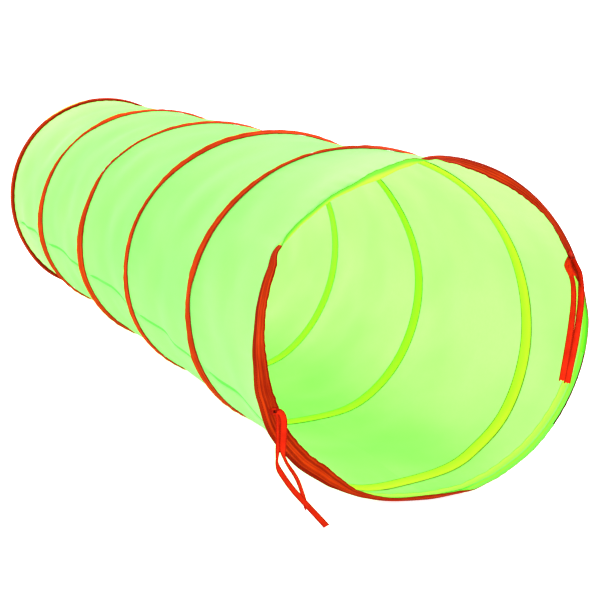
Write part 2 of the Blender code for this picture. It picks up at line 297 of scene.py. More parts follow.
def mixed_colour(tree, share, first, second):
    node = tree.nodes.new("ShaderNodeMix")
    node.data_type = "RGBA"
    link(tree, share, node.inputs["Factor"])
    link(tree, first, node.inputs["A"])
    link(tree, second, node.inputs["B"])
    return node.outputs["Result"]


def noise(tree, vector, scale, detail=2.0):
    node = tree.nodes.new("ShaderNodeTexNoise")
    node.inputs["Scale"].default_value = scale
    node.inputs["Detail"].default_value = detail
    link(tree, vector, node.inputs["Vector"])
    return node.outputs["Fac"]


def stretched(tree, value, low, high):
    """A value between low and high, brought to 0 to 1."""
    node = tree.nodes.new("ShaderNodeMapRange")
    node.inputs["From Min"].default_value = low
    node.inputs["From Max"].default_value = high
    link(tree, value, node.inputs["Value"])
    return node.outputs["Result"]


def uv_axes(tree):
    """The UV map's vector, its length along and its distance from the middle, in metres."""
    uv = tree.nodes.new("ShaderNodeUVMap")
    uv.uv_map = "UVMap"
    parts = tree.nodes.new("ShaderNodeSeparateXYZ")
    tree.links.new(uv.outputs[0], parts.inputs[0])
    return uv.outputs[0], parts.outputs[0], parts.outputs[1]


def weave_height(tree, along, across, pitch):
    """Crossing threads of a plain weave."""
    turn = 2 * math.pi / pitch
    warp = maths(tree, "SINE", maths(tree, "MULTIPLY", along, turn))
    weft = maths(tree, "SINE", maths(tree, "MULTIPLY", across, turn))
    return maths(tree, "MULTIPLY", warp, weft)


def stitch_mask(tree, along, across, rows, pitch=0.0034, width=0.0005):
    """1 on the threads of running stitches, in rows at these distances from the middle."""
    dash = maths(tree, "LESS_THAN", maths(tree, "PINGPONG", along, pitch / 2), pitch * 0.34)
    total = 0.0
    for row in rows:
        away = maths(tree, "ABSOLUTE", maths(tree, "SUBTRACT", across, row))
        total = maths(tree, "ADD", maths(tree, "LESS_THAN", away, width), total)
    return maths(tree, "MULTIPLY", dash, total, clamp=True)


def fold_mask(tree, place, across, folds):
    """1 along creases that wander a little about these distances from the middle."""
    stray = maths(tree, "MULTIPLY", maths(tree, "SUBTRACT", noise(tree, place, 12), 0.5), 0.006)
    total = 0.0
    for fold in folds:
        away = maths(tree, "ABSOLUTE", maths(tree, "SUBTRACT", maths(tree, "ADD", across, stray), fold))
        line = maths(tree, "SUBTRACT", 1.0, stretched(tree, away, 0.0001, 0.0011))
        total = maths(tree, "MAXIMUM", line, total)
    return total


def lengthwise_folds(tree, along, across, fineness):
    """Uneven bands that run along a strip, from 0 to 1."""
    place = tree.nodes.new("ShaderNodeCombineXYZ")
    link(tree, maths(tree, "MULTIPLY", along, 7), place.inputs[0])
    link(tree, maths(tree, "MULTIPLY", across, fineness), place.inputs[1])
    return stretched(tree, noise(tree, place.outputs[0], 1.0, 1), 0.42, 0.62)


def bump(tree, height, strength, distance, normal=None):
    node = tree.nodes.new("ShaderNodeBump")
    node.inputs["Strength"].default_value = strength
    node.inputs["Distance"].default_value = distance
    link(tree, height, node.inputs["Height"])
    if normal:
        link(tree, normal, node.inputs["Normal"])
    return node.outputs[0]


def new_tree(name):
    material = bpy.data.materials.new(name)
    material.use_nodes = True
    return material, material.node_tree, material.node_tree.nodes["Principled BSDF"]


def let_light_through(tree, shader, colour, normal, share):
    """Thin cloth: part of the light that falls on one side comes out of the other."""
    through = tree.nodes.new("ShaderNodeBsdfTranslucent")
    link(tree, colour, through.inputs["Color"])
    link(tree, normal, through.inputs["Normal"])
    mix = tree.nodes.new("ShaderNodeMixShader")
    mix.inputs["Fac"].default_value = share
    tree.links.new(shader.outputs[0], mix.inputs[1])
    tree.links.new(through.outputs[0], mix.inputs[2])
    tree.links.new(mix.outputs[0], tree.nodes["Material Output"].inputs["Surface"])


def cloth(name, colour, deep, roughness, through=0.0, pitch=0.0005, weave=0.12, mottle=7.0, level=0.06,
          sheen=0.0, rows=(), band_shade=0.0, folds=(), thread=(0.2, 0.01, 0.004)):
    """Woven cloth with uneven dye, a fine weave and faint crinkles. band_shade is how strongly painted shade darkens
    the folds along it, folds where its creases lie, darkened with painted shade, and rows where its stitching runs,
    from its middle. thread is the colour of all three: the stitches, and the painted shade in the folds, in the
    creases and towards the edges."""
    material, tree, shader = new_tree(name)
    place, along, across = uv_axes(tree)
    patches = stretched(tree, noise(tree, place, mottle), 0.35, 0.65)
    tint = mixed_colour(tree, patches, (*colour, 1), (*deep, 1))
    streaks = stretched(tree, noise(tree, place, 160, 1), 0.3, 0.7)
    tint = mixed_colour(tree, maths(tree, "MULTIPLY", streaks, 0.18), tint, (*deep, 1))
    crinkle = bump(tree, noise(tree, place, 55, 3), 0.25, 0.0012)
    normal = bump(tree, weave_height(tree, along, across, pitch), weave, pitch / 4, crinkle)
    # Painted shade: the lengthwise folds are darkened towards the dark stitch colour
    if band_shade:
        mask = lengthwise_folds(tree, along, across, 260)
        tint = mixed_colour(tree, maths(tree, "MULTIPLY", mask, band_shade), tint, (*thread, 1))
        normal = bump(tree, maths(tree, "SUBTRACT", 1.0, mask), 0.4, 0.001, normal)
    # Painted shade: the creases are darkened towards the dark stitch colour
    if folds:
        mask = fold_mask(tree, place, across, folds)
        tint = mixed_colour(tree, maths(tree, "MULTIPLY", mask, 0.65), tint, (*thread, 1))
        normal = bump(tree, maths(tree, "SUBTRACT", 1.0, mask), 0.5, 0.0008, normal)
    if rows:
        mask = stitch_mask(tree, along, across, rows)
        tint = mixed_colour(tree, mask, tint, (*thread, 1))
        normal = bump(tree, mask, 0.6, 0.0004, normal)
        # Painted shade: darker towards both edges of the strip
        edge = stretched(tree, maths(tree, "ABSOLUTE", across), 0.7 * max(rows), 1.15 * max(rows))
        tint = mixed_colour(tree, maths(tree, "MULTIPLY", edge, 0.72), tint, (*thread, 1))
    link(tree, tint, shader.inputs["Base Color"])
    link(tree, normal, shader.inputs["Normal"])
    rough = maths(tree, "ADD", maths(tree, "MULTIPLY", patches, 0.08), roughness)
    link(tree, rough, shader.inputs["Roughness"])
    shader.inputs["Specular IOR Level"].default_value = level
    shader.inputs["Sheen Weight"].default_value = sheen
    if through:
        let_light_through(tree, shader, tint, normal, through)
    return material


def lining_cloth(name, first, second):
    """The sleeve's cloth over the tape behind it: yellower from painted light that comes through the tape, two-toned,
    darker along both edges, with a stitch line along both edges.
    """
    material, tree, shader = new_tree(name)
    place, along, across = uv_axes(tree)
    side = maths(tree, "ADD", across, maths(tree, "MULTIPLY", noise(tree, place, 9), 0.02))
    # Painted light: the yellow of light that comes through the red tape
    tint = mixed_colour(tree, stretched(tree, side, 0.004, 0.016), (*first, 1), (*second, 1))
    edge = maths(tree, "GREATER_THAN", maths(tree, "ABSOLUTE", across), 0.0110)
    tint = mixed_colour(tree, maths(tree, "MULTIPLY", edge, 0.9), tint, (0.15, 0.12, 0.001, 1))
    mask = stitch_mask(tree, along, across, (-0.0108, 0.0108))
    tint = mixed_colour(tree, maths(tree, "MULTIPLY", mask, 0.5), tint, (0.40, 0.50, 0.010, 1))
    crinkle = bump(tree, noise(tree, place, 70, 3), 0.3, 0.001)
    normal = bump(tree, maths(tree, "ADD", mask, edge), 0.4, 0.0004, crinkle)
    link(tree, tint, shader.inputs["Base Color"])
    link(tree, normal, shader.inputs["Normal"])
    shader.inputs["Roughness"].default_value = 0.6
    shader.inputs["Specular IOR Level"].default_value = 0.2
    return material


def spring_steel():
    """Drawn wire: fine scratches along it and a few dull patches."""
    material, tree, shader = new_tree("spring_steel")
    place, _, across = uv_axes(tree)
    shader.inputs["Metallic"].default_value = 1.0
    patches = noise(tree, place, 40, 3)
    tint = mixed_colour(tree, patches, (0.45, 0.45, 0.47, 1), (0.66, 0.66, 0.68, 1))
    link(tree, tint, shader.inputs["Base Color"])
    link(tree, maths(tree, "ADD", maths(tree, "MULTIPLY", patches, 0.3), 0.15), shader.inputs["Roughness"])
    lines = maths(tree, "SINE", maths(tree, "MULTIPLY", across, 9000))
    link(tree, bump(tree, lines, 0.1, 0.00005), shader.inputs["Normal"])
    return material


def hem_cloth(name, near, far, line):
    """The hem's green side: yellow from painted light that comes through the tape behind it, green at its free edge,
    with painted shade along the crease at that edge, as strong as line says, and a stitched line.
    """
    material, tree, shader = new_tree(name)
    place, along, across = uv_axes(tree)
    side = maths(tree, "ADD", across, maths(tree, "MULTIPLY", noise(tree, place, 14), 0.005))
    # Painted light: yellow where light comes through the red tape behind the cloth
    tint = mixed_colour(tree, stretched(tree, side, -0.002, 0.006), (*near, 1), (*far, 1))
    # Painted shade: a dark line along the crease at the free edge
    edge = stretched(tree, across, 0.0095, 0.0118)
    tint = mixed_colour(tree, maths(tree, "MULTIPLY", edge, line), tint, (0.08, 0.30, 0.01, 1))
    mask = stitch_mask(tree, along, across, (0.0100,))
    tint = mixed_colour(tree, maths(tree, "MULTIPLY", mask, 0.5), tint, (0.08, 0.26, 0.01, 1))
    crinkle = bump(tree, noise(tree, place, 70, 3), 0.3, 0.001)
    link(tree, tint, shader.inputs["Base Color"])
    link(tree, bump(tree, mask, 0.5, 0.0004, crinkle), shader.inputs["Normal"])
    shader.inputs["Roughness"].default_value = 0.6
    shader.inputs["Specular IOR Level"].default_value = 0.25
    return material


def make_materials():
    stitches = TAPE_WIDTH / 2 - 0.0018
    webbing = {"roughness": 0.8, "pitch": 0.0009, "weave": 0.25, "mottle": 30, "level": 0.02,
               "rows": (-stitches, stitches), "thread": (0.17, 0.005, 0.0006)}
    narrow = {"pitch": 0.0007, "weave": 0.3, "mottle": 40, "rows": (-0.0040, 0.0040)}
    return {
        "sleeve": cloth("sleeve_cloth", (0.375, 0.92, 0.19), (0.30, 0.90, 0.145), roughness=0.5, through=0.64,
                        weave=0.05, mottle=5, level=0.5, sheen=0.5),
        "seam": cloth("seam_cloth", (0.19, 0.78, 0.11), (0.14, 0.72, 0.08), roughness=0.65, through=0.3,
                      rows=(0.0,), thread=(0.06, 0.34, 0.03)),
        # One hem cloth in two copies, yellow at the root from painted light through the tape; hem carries strong
        # painted shade at its free edge, pale_hem is lighter with faint painted shade there
        "hem": hem_cloth("hem_cloth", (0.42, 0.90, 0.03), (0.13, 0.64, 0.02), 0.75),
        "pale_hem": hem_cloth("pale_hem_cloth", (0.46, 0.92, 0.06), (0.29, 0.90, 0.13), 0.2),
        # The tape and the binding are darkened with painted shade in their folds, their creases and towards their
        # edges
        "tape": cloth("casing_tape_cloth", (0.56, 0.046, 0.004), (0.45, 0.032, 0.003), **webbing, band_shade=0.35),
        "binding": cloth("rim_binding_cloth", (0.56, 0.040, 0.002), (0.44, 0.026, 0.0015), **webbing, band_shade=0.75,
                         folds=(-0.0045, 0.0035)),
        "ribbon": cloth("ribbon_cloth", (0.76, 0.022, 0.003), (0.60, 0.014, 0.002), roughness=0.6, through=0.1,
                        level=0.03, thread=(0.36, 0.007, 0.001), **narrow),
        # The ribbon's folded middle: the ribbon cloth darkened with painted shade
        "fold": cloth("ribbon_fold_shaded_cloth", (0.52, 0.018, 0.002), (0.40, 0.010, 0.001), roughness=0.7,
                      level=0.02, thread=(0.20, 0.004, 0.001), **narrow),
        # Dark thread for the bar tacks, also used as painted shade on the front hem's free edge
        "thread": cloth("tack_thread", (0.035, 0.003, 0.001), (0.015, 0.001, 0.0005), roughness=0.7, pitch=0.0006,
                        weave=0.4, mottle=90),
        # The linings' yellow is painted light that comes through the red tape behind the sleeve
        "lining": lining_cloth("casing_lining_cloth", (0.66, 0.86, 0.03), (0.78, 0.90, 0.035)),
        "rim_lining": lining_cloth("rim_lining_cloth", (0.50, 0.90, 0.10), (0.68, 0.90, 0.12)),
        "steel": spring_steel(),
    }


# Riding


def collapse_with(obj, body):
    """The piece rides on a body of the coil."""
    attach(obj, body)
    index = int(body[-1]) - 1 if body != "front_coil" else 0
    if index == 0:
        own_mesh(obj)
        return obj
    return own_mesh(obj)


def coil_body(turn):
    return "front_coil" if turn == 1 else f"coil_{turn}"


# Pieces


def bay_edges(theta):
    """The wires that cross this line along the tunnel, from the front edge to the rear ring: the X of each, and how
    far it stands out of the round."""
    inside = [t for t in (theta + 360 * k for k in range(-1, 5)) if COIL_START < t < COIL_END]
    places = [float(hem_root(theta)), *(float(coil_x(t)) for t in inside), REAR_X]
    stands = [float(rim_stand(theta)), *(float(coil_stand(t)) for t in inside), 0.0]
    order = np.argsort(places)[::-1]
    return np.array(places)[order], np.array(stands)[order]


def sleeve_radius(theta, x):
    """The sleeve's radius on one line along the tunnel: over the wires, drawn in between them, softly uneven."""
    edges, stands = bay_edges(theta)
    spot = np.clip(np.searchsorted(-edges, -x, side="right") - 1, 0, len(edges) - 2)
    width = np.maximum(edges[spot] - edges[spot + 1], 1e-6)
    ahead = np.clip(edges[spot] - x, 0, width)
    flat = TAPE_WIDTH / 2 + 0.0015
    open_width = np.maximum(width - 2 * flat, 1e-6)
    share = np.clip((ahead - flat) / open_width, 0, 1)
    middle = 4 * share * (1 - share)
    size = np.minimum(open_width / COIL_PITCH, 1.0)
    radius = SLEEVE_RADIUS + np.interp(-x, -edges, stands)
    uneven = ripple(theta, x, seed=3, turns=(2, 9), lengths=(0.10, 0.6))
    radius -= (DRAWN_IN * middle + UNEVENNESS * middle * uneven) * size
    near = np.minimum(share, 1 - share) * open_width
    pucker = 1 + np.cos(np.radians(theta) * PUCKERS + 4 * x)
    radius -= PUCKER_DEPTH * pucker * np.exp(-near / PUCKER_FADE) * np.clip(near / 0.004, 0, 1)
    behind = float(hem_root(theta)) - x
    radius += hem_drawn(theta) * np.exp(-behind / 0.02) + FRONT_FLARE * np.exp(-behind / 0.005)
    away = (theta - seam_angle(x)) * math.radians(RADIUS)
    return radius - SEAM_DIP * np.exp(-((away / 0.006) ** 2)) * np.clip(near / 0.03, 0, 1)


def seam_angle(x):
    """Where the sleeve's lengthwise seam runs, bowed a little in each bay."""
    back = FRONT_X - x
    bow = 1.3 * np.sin(math.pi * back / COIL_PITCH) ** 2
    return eased(back, ((0, 301), (0.4, 296), (0.9, 288), (1.75, 283.5))) - bow


def build_sleeve(materials):
    """One sewn tube of thin cloth from rim to rim."""
    columns, rows = 432, 340
    theta = np.arange(columns)[:, None] * 360 / columns + np.zeros((1, rows))
    share = np.linspace(0, 1, rows)[None, :]
    front = hem_root(theta) - 0.001
    x = front + share * (REAR_X + 0.001 - front)
    radius = np.array([sleeve_radius(float(t), line) for t, line in zip(theta[:, 0], x)])
    points = ring_points(theta, x, radius)
    along = theta[:, 0] * math.radians(RADIUS)
    sleeve = sweep("sleeve", points, along, x[0] - REAR_X, [materials["sleeve"]], closed=True, loop=False)
    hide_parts(*(f"sleeve_bay_{k}" for k in range(1, BAYS + 1)))
    collapse_with(sleeve, "front_coil")
    return sleeve


def build_seam(materials):
    """The folded seam that shows through along the sleeve's side."""
    x = np.linspace(FRONT_X - 0.05, REAR_X + 0.03, 420)
    across = np.linspace(-SEAM_HALF, SEAM_HALF, 7)
    centre = seam_angle(x)[:, None]
    theta = centre + across[None, :] / math.radians(RADIUS)
    shown = np.array([open_cloth(a, b) for a, b in zip(centre[:, 0], x)])
    depth = 0.0004 * (1 - (across / SEAM_HALF) ** 2)[None, :] + 0.0002 - 0.0009 * (1 - shown)[:, None]
    base = np.array([float(sleeve_radius(t, np.array([p]))[0]) for t, p in zip(centre[:, 0], x)])[:, None]
    points = ring_points(theta, x[:, None], base + depth)
    seam = sweep("sleeve_seam", points, FRONT_X - x, across, [materials["seam"]], loop=False)
    return collapse_with(seam, "front_coil")


def open_cloth(theta, x):
    """1 in the open cloth of a bay, falling to 0 within a few centimetres of a wire."""
    away = min(abs(x - bay_edges(theta)[0]))
    return min(1.0, max(0.0, (away - 0.02) / 0.05))


def tape_points(theta):
    """The casing tape's two faces as one loop: down on the sleeve at both edges and up over the wire. It stands up
    where more of it shows than can lie, is pressed flat by the floor, and sinks under the rear binding."""
    shown = eased(theta, TAPE_SHOWN)[:, None] / 1000
    half = np.minimum(shown, TAPE_LYING) / 2
    crown = 1 + np.clip(shown - TAPE_LYING, 0, None) / 0.016 - 0.55 * np.clip(1 - shown / TAPE_LYING, 0, 1)
    from_floor = (theta[:, None] + 180) % 360 - 180
    pressed = 1 - 0.65 * np.exp(-((from_floor / 32) ** 2))
    sunk = 1 - 0.7 * np.clip((theta[:, None] - TAPE_SINKS) / 10, 0, 1)
    crown = crown * pressed * sunk
    spread = np.linspace(-1, 1, 13)[None, :]
    edge_low = SLEEVE_RADIUS + 0.0003
    rise = (RADIUS - TAPE - edge_low) * crown
    radius = edge_low + coil_stand(theta)[:, None] + rise * np.exp(-((spread * 2.1) ** 2))
    radius = radius + 0.00025 * ripple(theta[:, None], spread * 0.01, seed=5, turns=(30, 90), lengths=(0.01, 0.03))
    x = coil_x(theta)[:, None] + half * spread
    outer = ring_points(theta[:, None], x, radius + TAPE)
    inner = ring_points(theta[:, None], x, radius)
    return np.concatenate([outer, inner[:, ::-1]], axis=1), np.concatenate([spread[0], spread[0, ::-1]])


def turn_ranges(start, end):
    """The first and last angle of each of the coil's turns, on its own body of the frame."""
    edges = [start, *TURN_ENDS, end]
    return list(zip(edges, edges[1:]))


def build_tapes(materials):
    """The red tape sewn over the coil, turn by turn."""
    for turn, (low, high) in enumerate(turn_ranges(*TAPE_RANGE), 1):
        theta = np.linspace(low, high, int(high - low) + 1)
        points, across = tape_points(theta)
        along = theta * math.radians(RADIUS)
        tape = sweep(f"casing_tape_{turn}", points, along, across * TAPE_WIDTH / 2, [materials["tape"]])
        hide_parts(f"casing_tape_turn_{turn}")
        collapse_with(tape, coil_body(turn))


def build_linings(materials):
    """The casing as it shows inside the sleeve, turn by turn. Its front edge sags a little near the top."""
    across = np.linspace(-LINING_HALF, LINING_HALF, 9)
    for turn, (low, high) in enumerate(turn_ranges(*LINING_RANGE), 1):
        theta = np.linspace(low, high, int(high - low) + 1)
        x = coil_x(theta)[:, None] + LINING_SPREAD * across[None, :] + LINING_SHIFT
        depth = 0.0007 * np.exp(-((across / 0.006) ** 2))[None, :]
        sag = 0.0045 * np.exp(-(((theta - SAG_ANGLE) / 24) ** 2))[:, None] * (0.5 - across / TAPE_WIDTH)[None, :]
        radius = LINING_RADIUS + coil_stand(theta)[:, None] - depth - sag
        points = ring_points(theta[:, None], x, radius)
        lining = sweep(f"casing_lining_{turn}", points, theta * math.radians(RADIUS), across,
                       [materials["lining"]], loop=False)
        collapse_with(lining, coil_body(turn))


def wire_loop(theta, x, radius):
    """A round wire's loops of points."""
    turn = np.linspace(0, 2 * math.pi, 10, endpoint=False)
    return ring_points(theta[:, None], x[:, None] + WIRE_RADIUS * np.cos(turn)[None, :],
                       (radius + np.zeros_like(theta))[:, None] + WIRE_RADIUS * np.sin(turn)[None, :])


def build_wires(materials):
    """The spring wire in its casing: both rings and each turn of the coil."""
    across = np.linspace(0, 2 * math.pi * WIRE_RADIUS, 10, endpoint=False)
    for turn, (low, high) in enumerate(turn_ranges(COIL_START, COIL_END), 1):
        theta = np.linspace(low, high, int(high - low) // 2 + 1)
        points = wire_loop(theta, coil_x(theta), WIRE_CENTRE + coil_stand(theta))
        wire = sweep(f"coil_wire_{turn}", points, theta * math.radians(RADIUS), across, [materials["steel"]])
        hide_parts(f"coil_wire_turn_{turn}")
        collapse_with(wire, coil_body(turn))
    theta = np.arange(0, 360, 2.0)
    front = wire_loop(theta, hem_root(theta), WIRE_CENTRE + rim_stand(theta) + hem_drawn(theta))
    rear = wire_loop(theta, REAR_X + 0 * theta, WIRE_CENTRE)
    for side, points in (("front", front), ("rear", rear)):
        ring = sweep(f"{side}_wire_ring", points, theta * math.radians(RADIUS), across, [materials["steel"]],
                     closed=True)
        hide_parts(f"{side}_ring_wire")
        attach(ring, f"{side}_ring")


def hem_spot(theta, reach, out):
    """World points on the front hem's strip, this far from its root and this far out of its middle. It twists only
    ahead of the row that was first behind the wire, so that what lies further back stays off the floor."""
    twist = np.radians(eased(theta, HEM_TWIST, 360))
    x = hem_root(theta) + reach * np.cos(twist) + out * np.sin(twist)
    root = WIRE_CENTRE + rim_stand(theta) + hem_drawn(theta)
    return ring_points(theta, x, root - np.maximum(reach, HEM_REACHES[0]) * np.sin(twist) + out * np.cos(twist))


def hem_width(theta):
    """The front hem's width, in metres."""
    return eased(theta, HEM_WIDTH, 360) / 1000


def hem_points(theta):
    """The front hem's two faces as one loop: outside from behind the wire to the free edge, and back inside. Where
    the wire stands ahead of the rest, the hem reaches further back, so that no gap opens as the tunnel collapses."""
    theta = theta[:, None]
    width = hem_width(theta)
    reach = np.array(HEM_REACHES)[None, :]
    ahead = np.clip(-eased(theta, HEM_SETBACK, 360) / 15, 0, 1)
    reach = np.where(reach > 0, reach * width / HEM_REACHES[-1], reach * (1 + 3.9 * ahead))
    share = np.clip(reach / width, 0, 1)
    rough_edge = 0.0006 * ripple(theta, 0.0, seed=12, turns=(50, 140), lengths=(1, 2)) * share**4
    half = np.interp(reach / width, *zip(*HEM_THICKNESS))
    fold = 2.3 * share + 0.35 * ripple(theta, 0.0, seed=4, turns=(1, 5), lengths=(1, 2))
    crease = 0.0009 * np.sin(2 * math.pi * fold) * share * (1 - share) * 4
    outer = hem_spot(theta, reach + rough_edge, half + crease)
    inner = hem_spot(theta, reach + rough_edge, -half + 0.5 * crease)
    across = (share[0] - 0.5) * TAPE_WIDTH
    return np.concatenate([outer, inner[:, ::-1]], axis=1), np.concatenate([across, across[::-1]])


def build_front_rim(materials):
    """The front mouth's hem: red tape outside and green cloth inside, twisting as it goes round. The cloth is paler
    low on one side, with less painted shade, and its free edge there is painted dark as shadow; the tape is tucked
    out of sight along the other's top."""
    theta = np.arange(0, 360, 0.5)
    points, across = hem_points(theta)
    half = points.shape[1] // 2
    looks = ("binding", "hem", "pale_hem", "thread")
    kinds = np.full(points.shape[:2], looks.index("binding"))
    kinds[:, half:-1] = looks.index("hem")
    # A paler copy of the hem cloth, with less painted shade at its free edge
    kinds[(theta > 14) & (theta < 80), half:-1] = looks.index("pale_hem")
    # Painted shade: the free edge here, red binding in shadow, gets the dark tack thread colour
    kinds[(theta > 53) & (theta < 80), half] = looks.index("thread")
    kinds[(theta > 189) & (theta < 237.5)] = looks.index("hem")
    rim = sweep("front_rim", points, theta * math.radians(RADIUS), across, [materials[look] for look in looks],
                kinds, closed=True)
    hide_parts("front_rim_binding")
    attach(rim, "front_ring")


def build_front_lining(materials):
    """The front ring's casing as it shows inside the sleeve."""
    theta = np.arange(168, 467, 1.0)
    back = np.linspace(0.0050, 0.0170, 8)
    across = np.linspace(-0.0095, 0.0124, 8)
    x = hem_root(theta)[:, None] - back
    radius = np.array([sleeve_radius(float(t), line) for t, line in zip(theta, x)]) - 0.0006
    radius -= 0.0006 * np.exp(-(((back - 0.0110) / 0.003) ** 2))
    lining = sweep("front_rim_lining", ring_points(theta[:, None], x, radius), theta * math.radians(RADIUS),
                   across, [materials["rim_lining"]], loop=False)
    return collapse_with(lining, "front_coil")


def build_rear_rim(materials):
    """The rear mouth's binding: tape folded over the ring and the sleeve's edge, with a short stretch at the top
    turned so that its lining shows."""
    theta = np.arange(0, 360, 1.0)
    share = np.linspace(0, 1, 9)[None, :]
    width = 0.0215 * (0.86 + 0.14 * ripple(theta, 0.0, seed=21, turns=(1, 6), lengths=(1, 2)))[:, None]
    x = REAR_X - 0.0024 + width * (1 - share)
    height = eased(theta, REAR_LIFT, 360)[:, None] / 1000
    lift = height * np.sin(math.pi * (share * 0.6 + 0.15)) ** 0.7
    outer = ring_points(theta[:, None], x, SLEEVE_RADIUS + 0.0011 + lift + 0.0016 * share)
    inner = ring_points(theta[:, None], x, SLEEVE_RADIUS - 0.0014 - 0.2 * lift)
    points = np.concatenate([outer, inner[:, ::-1]], axis=1)
    looks = ("binding", "rim_lining")
    kinds = np.full(points.shape[:2], looks.index("binding"))
    turned = np.abs(theta - 204)
    kinds[:, 9:17] = looks.index("rim_lining")
    kinds[turned < 14, 4:6] = looks.index("rim_lining")
    kinds[turned < 8, 3:7] = looks.index("rim_lining")
    across = (share[0] - 0.5) * TAPE_WIDTH
    rim = sweep("rear_rim", points, theta * math.radians(RADIUS), np.concatenate([across, across[::-1]]),
                [materials[look] for look in looks], kinds, closed=True)
    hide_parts("rear_rim_binding")
    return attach(rim, "rear_ring")


# Ties, with the frame's own routes from the front ring's centre

RIBBON_WIDTH = 0.0094
RIBBON_THICKNESS = 0.0006
LEFT_TIE_ANGLE = 292.5
RIGHT_TIE_ANGLE = 116
FACING = Vector((0.91, -0.37, 0.19))
ROUTES = {
    "tie_left_long_tail": (
        (-0.0045, -0.2125, -0.0906), (-0.0015, -0.2123, -0.0994), (0.0015, -0.2137, -0.1093),
        (0.0030, -0.2146, -0.1210), (0.0045, -0.2157, -0.1355), (0.0050, -0.2169, -0.1475),
        (0.0060, -0.2177, -0.1553),
        (0.0080, -0.2158, -0.1639), (0.0120, -0.2107, -0.1736), (0.0180, -0.2046, -0.1842),
        (0.0240, -0.1978, -0.1941), (0.0310, -0.1914, -0.2023), (0.0380, -0.1843, -0.2113),
        (0.0470, -0.1768, -0.2210), (0.0630, -0.1710, -0.2294),
    ),
    "tie_left_short_tail": (
        (-0.0045, -0.2132, -0.0885), (0.0000, -0.2096, -0.0902), (0.0040, -0.2079, -0.0970),
        (0.0062, -0.2084, -0.1080),
        (0.0060, -0.2090, -0.1208), (0.0050, -0.2095, -0.1333), (0.0045, -0.2084, -0.1432),
        (0.0045, -0.2049, -0.1539), (0.0050, -0.1994, -0.1640), (0.0060, -0.1934, -0.1734),
        (0.0070, -0.1884, -0.1834), (0.0090, -0.1849, -0.1943), (0.0110, -0.1821, -0.2051),
        (0.0130, -0.1804, -0.2151), (0.0140, -0.1805, -0.2232),
    ),
    "tie_right_outer_tail": (
        (0.0325, 0.2078, 0.0946), (0.0325, 0.2156, 0.0823), (0.0325, 0.2208, 0.0712),
        (0.0325, 0.2231, 0.0541), (0.0325, 0.2236, 0.0315), (0.0325, 0.2216, 0.0048),
        (0.0325, 0.2173, -0.0248), (0.0325, 0.2123, -0.0516), (0.0325, 0.2063, -0.0819),
    ),
    "tie_right_inner_tail": (
        (0.0300, 0.2050, 0.0983), (0.0300, 0.2009, 0.0916), (0.0300, 0.1994, 0.0854),
        (0.0300, 0.2026, 0.0789), (0.0300, 0.2069, 0.0717), (0.0300, 0.2108, 0.0602),
        (0.0300, 0.2126, 0.0460), (0.0300, 0.2129, 0.0276), (0.0300, 0.2112, 0.0022),
        (0.0300, 0.2072, -0.0288), (0.0300, 0.2038, -0.0514), (0.0300, 0.1996, -0.0783),
    ),
    "tie_right_wrap": (
        (0.0345, 0.1990, 0.0940), (0.0345, 0.2013, 0.0850), (0.0345, 0.2052, 0.0775),
        (0.0345, 0.2100, 0.0710),
    ),
}


def smooth_route(route, spacing=0.003):
    """Points on a Catmull-Rom curve through a route."""
    knots = [CENTRE + Vector(point) for point in route]
    knots = [2 * knots[0] - knots[1], *knots, 2 * knots[-1] - knots[-2]]
    points = []
    for before, here, there, after in zip(knots, knots[1:], knots[2:], knots[3:]):
        steps = max(1, round((there - here).length / spacing))
        for t in (step / steps for step in range(steps)):
            points.append(0.5 * (2 * here + (there - before) * t + (2 * before - 5 * here + 4 * there - after) * t**2
                                 + (3 * here - before - 3 * there + after) * t**3))
    points.append(knots[-2])
    return points


def ribbon(name, materials, turns, end="ragged"):
    """A narrow woven ribbon along its route, cupped across, with its cut end square, ragged or pointed. turns gives
    its turn in degrees away from facing outwards, at shares of its length."""
    points = smooth_route(ROUTES[name])
    lengths = np.cumsum([0, *((b - a).length for a, b in zip(points, points[1:]))])
    spread = np.linspace(-1, 1, 9)
    rng = np.random.default_rng(len(name))
    rows = []
    for i, point in enumerate(points):
        along = (points[min(i + 1, len(points) - 1)] - points[max(i - 1, 0)]).normalized()
        turn = math.radians(float(eased(lengths[i] / lengths[-1], turns)))
        across = Matrix.Rotation(turn, 3, along) @ along.cross(FACING).normalized()
        out = across.cross(along).normalized()
        left = lengths[-1] - lengths[i]
        half = RIBBON_WIDTH / 2
        if end == "pointed":
            half *= min(1, 0.12 + left / 0.008)
        tear = rng.uniform(-0.0012, 0.0012, 9) if end == "ragged" and i == len(points) - 1 else np.zeros(9)
        top = [point + across * half * s + out * (RIBBON_THICKNESS / 2 - 0.0006 * s * s) + along * t
               for s, t in zip(spread, tear)]
        low = [p - out * RIBBON_THICKNESS for p in top]
        rows.append([*top, *reversed(low)])
    across = np.concatenate([spread, spread[::-1]]) * RIBBON_WIDTH / 2
    obj = sweep(name + "_ribbon", np.array(rows, float), lengths, across, [materials["ribbon"]])
    cap_ends(obj, len(rows), len(rows[0]))
    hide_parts(name)
    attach(obj, "front_ring")
    return obj, points, float(lengths[-1])


def cap_ends(obj, rows, columns):
    """Closes a ribbon's two cut ends with quads between its faces."""
    data = obj.data
    points = [tuple(v.co) for v in data.vertices]
    faces = [tuple(p.vertices) for p in data.polygons]
    uvs = [tuple(d.uv) for d in data.uv_layers[0].data]
    last = (rows - 1) * columns
    for base, flip in ((0, True), (last, False)):
        for c in range(columns // 2 - 1):
            quad = [base + c, base + c + 1, base + columns - 2 - c, base + columns - 1 - c]
            faces.append(tuple(reversed(quad)) if flip else tuple(quad))
            uvs.extend([(0, 0)] * 4)
    material = data.materials[0]
    fresh = bpy.data.meshes.new(obj.name)
    fresh.from_pydata(points, [], faces)
    fresh.uv_layers.new(name="UVMap").data.foreach_set("uv", np.array(uvs, np.float32).ravel())
    fresh.materials.append(material)
    fresh.shade_smooth()
    fresh.set_sharp_from_angle(angle=math.radians(60))
    obj.data = fresh
    bpy.data.meshes.remove(data)


